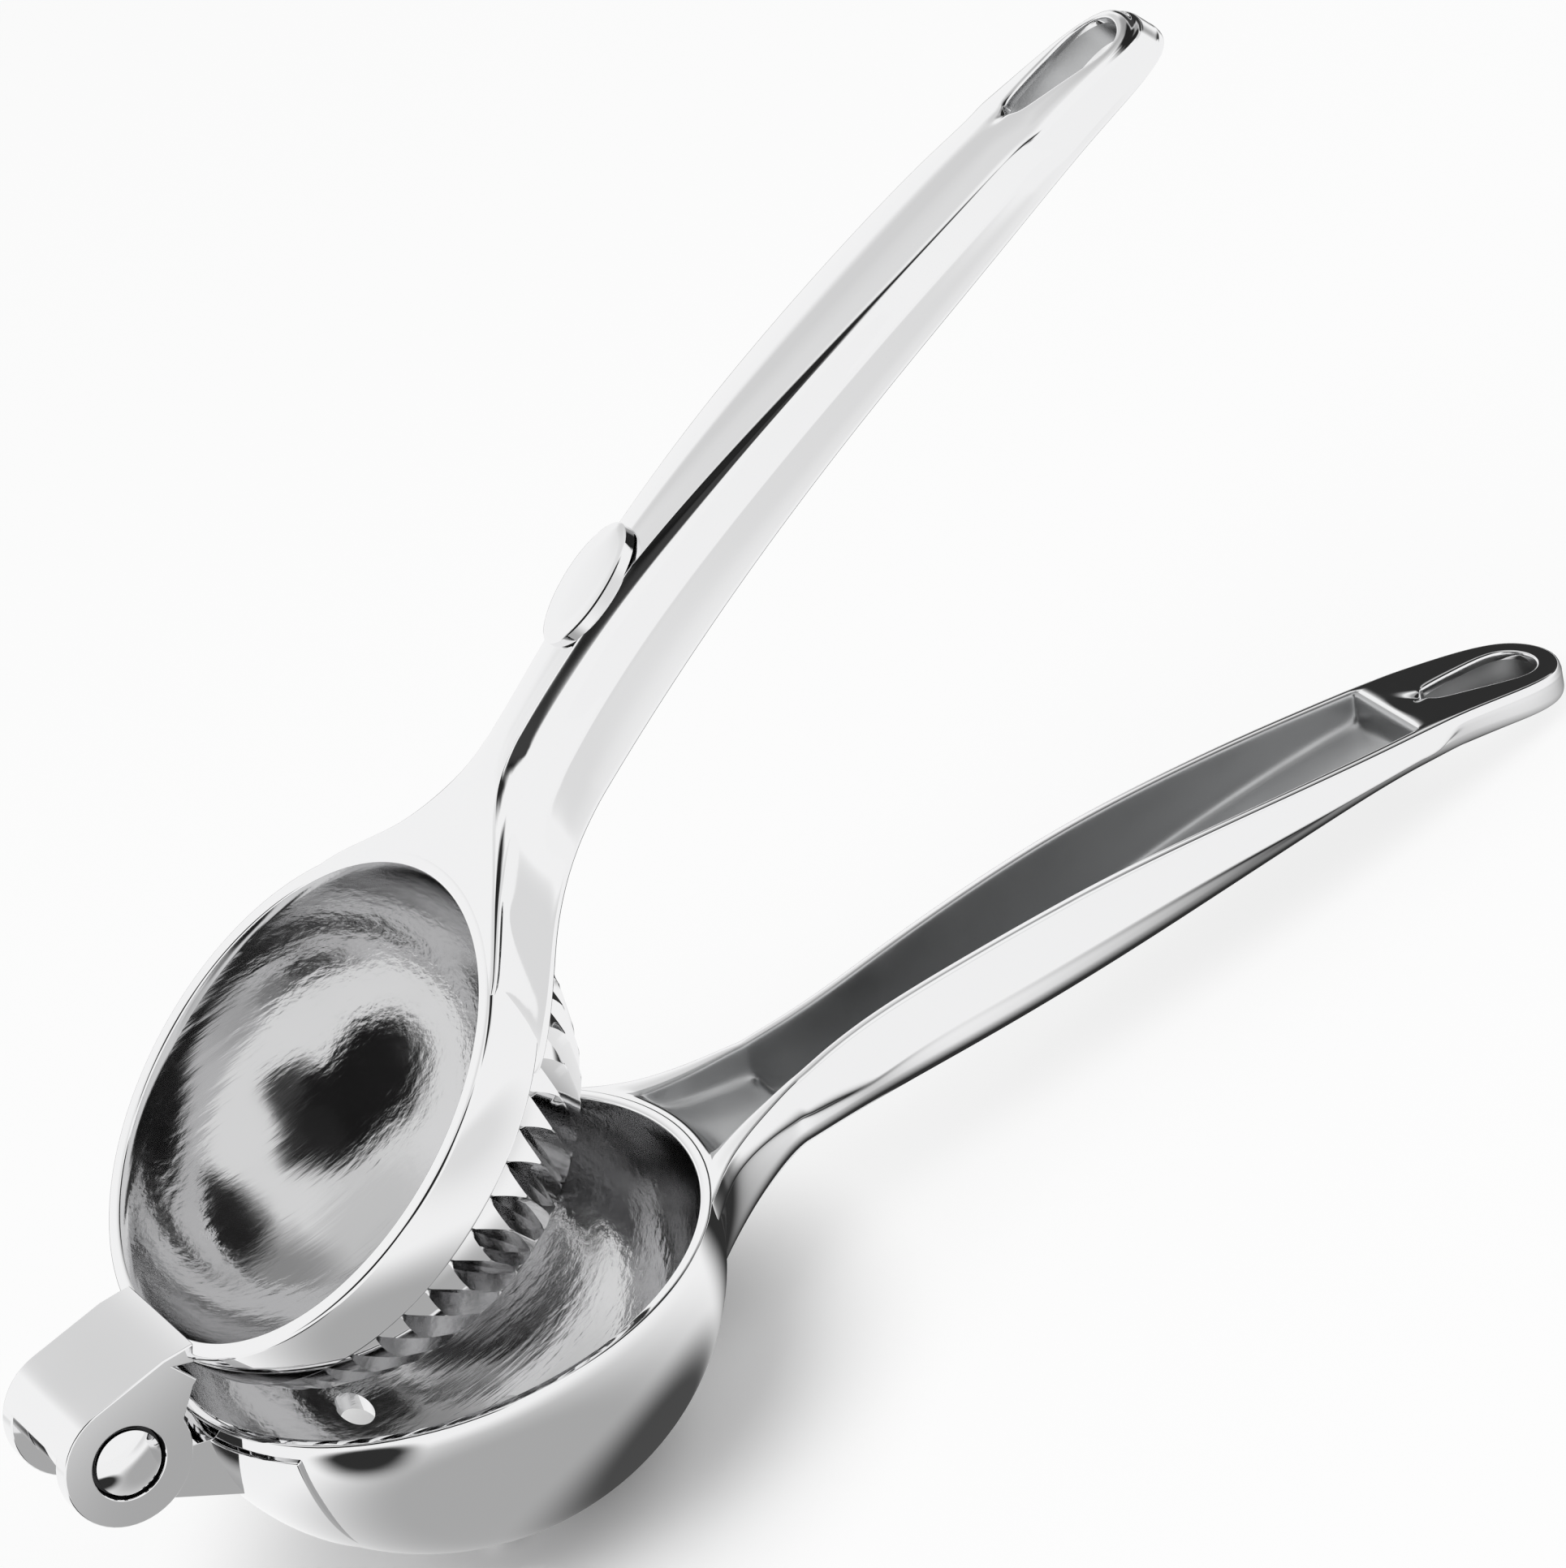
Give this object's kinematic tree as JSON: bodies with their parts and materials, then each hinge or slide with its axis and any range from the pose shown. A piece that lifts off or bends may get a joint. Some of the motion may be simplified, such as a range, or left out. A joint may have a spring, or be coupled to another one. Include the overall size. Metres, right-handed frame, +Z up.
{
  "type": "hinged lemon squeezer",
  "caption": "Hand-held citrus press: a perforated bowl lever and a fluted press lever on one riveted hinge, with long channel handles that end in hanging slots.",
  "frame": {"origin": "centre of the bounding box's bottom face; the squeezer stands on the ground foot of its bowl and on the tip of its lower handle", "axes": "+X from the hinge towards the handles' tips, +Y along the hinge pin, +Z up from the table"},
  "size_m": [0.2274, 0.0732, 0.1244],
  "materials": {
    "lever_metal": "cast, polished and bright plated",
    "dome_metal": "fluted and bright plated",
    "rivet_steel": "domed heads, polished",
    "badge_metal": "bare polished plate",
    "washer_steel": "plain stamped steel"
  },
  "bodies": {
    "bowl_side": {"lower_lever": "lever_metal"},
    "press_side": {"upper_lever": "lever_metal", "press_dome": "dome_metal", "badge_plate": "badge_metal", "hinge_rivet": "rivet_steel", "near_washer": "washer_steel", "far_washer": "washer_steel"}
  },
  "joints": [
    {"name": "lever_hinge", "type": "hinge", "parent": "bowl_side", "child": "press_side", "pos_m": [-0.10502, 0, 0.04439], "axis": [0, -1, 0], "range_deg": [-28.5, 85]}
  ]
}
